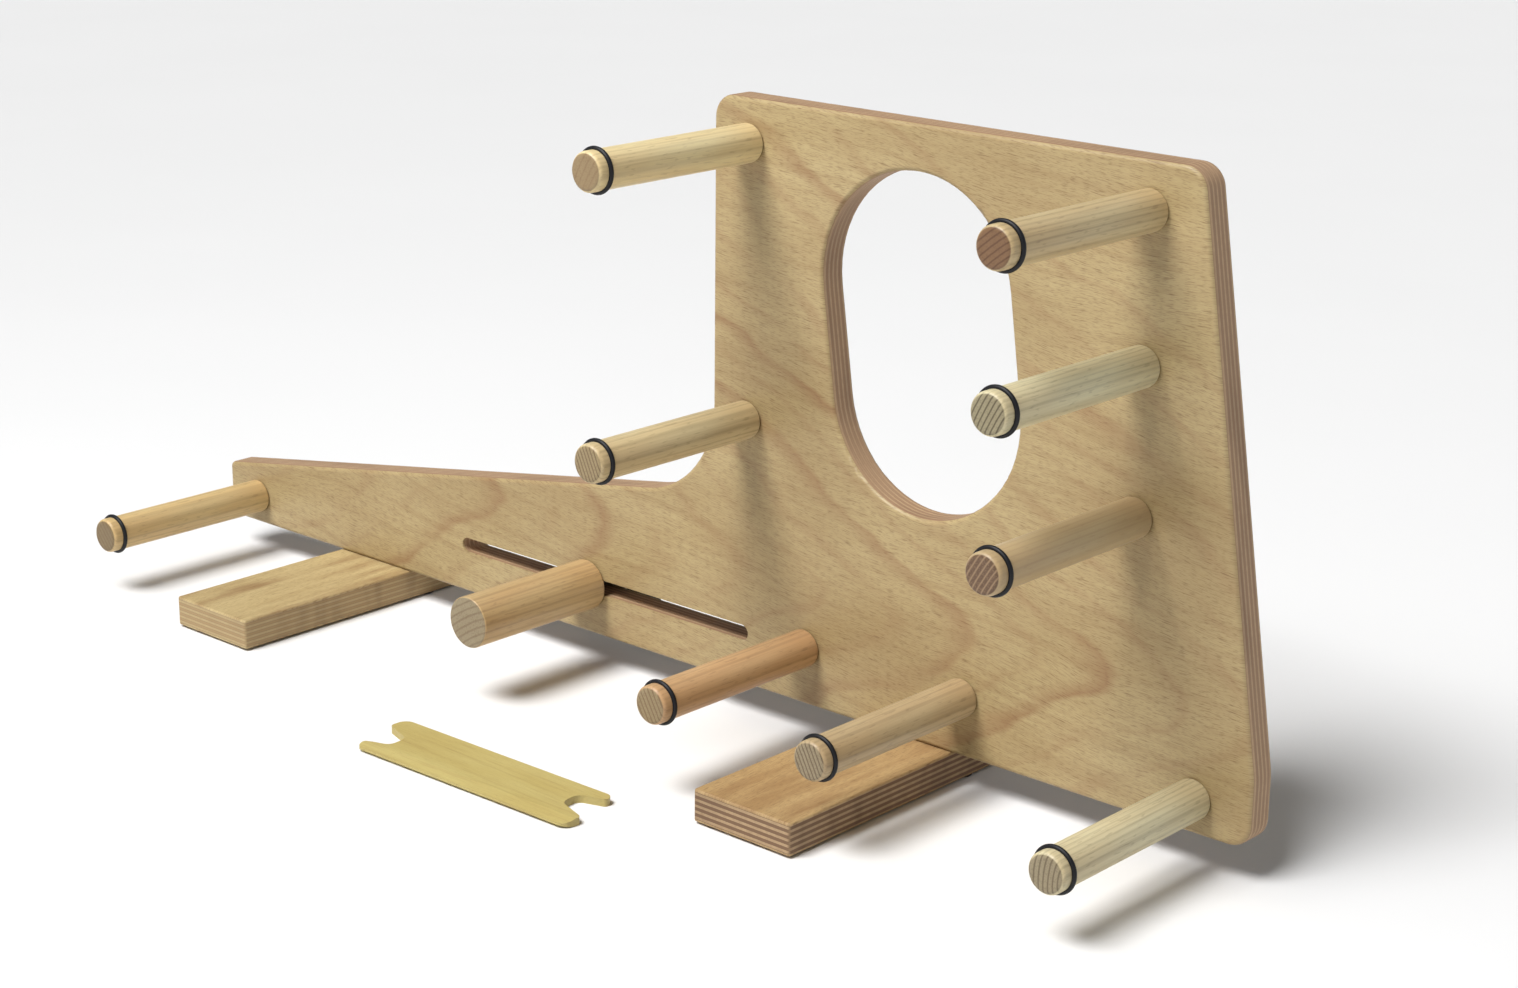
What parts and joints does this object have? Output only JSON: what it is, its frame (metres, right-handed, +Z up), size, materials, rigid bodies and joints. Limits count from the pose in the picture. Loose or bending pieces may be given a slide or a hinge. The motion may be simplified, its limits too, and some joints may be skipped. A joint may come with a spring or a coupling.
{
  "type": "table-top inkle loom",
  "caption": "Table-top band loom: plywood panel on two feet with standing warp pegs, an oval opening, a slot with a sliding clamped tension peg, and a forked belt shuttle.",
  "frame": {"origin": "centre of the bounding box on the table, Z = 0 at the underside of the foot pads and the shuttle", "axes": "+X along the panel from the low arm to the tall end, +Y from the peg tips to the clamp knob, +Z up"},
  "size_m": [0.93, 0.2663, 0.4095],
  "materials": {
    "panel_plywood": "satin clear lacquer",
    "foot_plywood": "satin clear lacquer",
    "peg_beech": "satin clear lacquer",
    "shuttle_beech": "satin, oiled",
    "ring_rubber": "smooth black",
    "pad_rubber": "matte black",
    "screw_steel": "zinc plated",
    "rod_steel": "zinc plated",
    "washer_steel": "zinc plated",
    "knob_plastic": "fine-textured black",
    "insert_brass": "machined"
  },
  "bodies": {
    "frame": {"main_panel": "panel_plywood", "left_foot": "foot_plywood", "left_foot_screw_1": "screw_steel", "left_foot_screw_2": "screw_steel", "left_foot_pad_rear_left": "pad_rubber", "left_foot_pad_rear_right": "pad_rubber", "left_foot_pad_front_left": "pad_rubber", "left_foot_pad_front_right": "pad_rubber", "right_foot": "foot_plywood", "right_foot_screw_1": "screw_steel", "right_foot_screw_2": "screw_steel", "right_foot_pad_rear_left": "pad_rubber", "right_foot_pad_rear_right": "pad_rubber", "right_foot_pad_front_left": "pad_rubber", "right_foot_pad_front_right": "pad_rubber", "arm_end_peg": "peg_beech", "arm_end_ring": "ring_rubber", "arm_end_screw": "screw_steel", "top_left_peg": "peg_beech", "top_left_ring": "ring_rubber", "top_left_screw": "screw_steel", "heddle_peg": "peg_beech", "heddle_ring": "ring_rubber", "heddle_screw": "screw_steel", "top_right_peg": "peg_beech", "top_right_ring": "ring_rubber", "top_right_screw": "screw_steel", "upper_right_peg": "peg_beech", "upper_right_ring": "ring_rubber", "upper_right_screw": "screw_steel", "lower_right_peg": "peg_beech", "lower_right_ring": "ring_rubber", "lower_right_screw": "screw_steel", "lower_middle_peg": "peg_beech", "lower_middle_ring": "ring_rubber", "lower_middle_screw": "screw_steel", "lower_inner_peg": "peg_beech", "lower_inner_ring": "ring_rubber", "lower_inner_screw": "screw_steel", "corner_peg": "peg_beech", "corner_ring": "ring_rubber", "corner_screw": "screw_steel"},
    "tension_carriage": {"tension_peg": "peg_beech", "tension_rod": "rod_steel"},
    "washer": {"clamp_washer": "washer_steel"},
    "knob": {"clamp_knob": "knob_plastic", "knob_insert": "insert_brass"},
    "shuttle": {"shuttle": "shuttle_beech"}
  },
  "joints": [
    {"name": "tension_slide", "type": "slide", "parent": "frame", "child": "tension_carriage", "axis": [1, 0, 0], "range_m": [-0.122, 0.143]},
    {"name": "washer_back_off", "type": "slide", "parent": "tension_carriage", "child": "washer", "axis": [0, 1, 0], "range_m": [0, 0.00225]},
    {"name": "knob_turn", "type": "hinge", "parent": "washer", "child": "knob", "pos_m": [-0.07, 0.1051, 0.058], "axis": [0, 1, 0], "range_deg": [0, 540]},
    {"name": "shuttle_lift", "type": "slide", "parent": "frame", "child": "shuttle", "axis": [0, 0, 1], "range_m": [0, 0.15]}
  ],
  "couplings": [
    {"joint": "knob_turn", "follows": "washer_back_off", "rad_per_m": 4188.8}
  ]
}
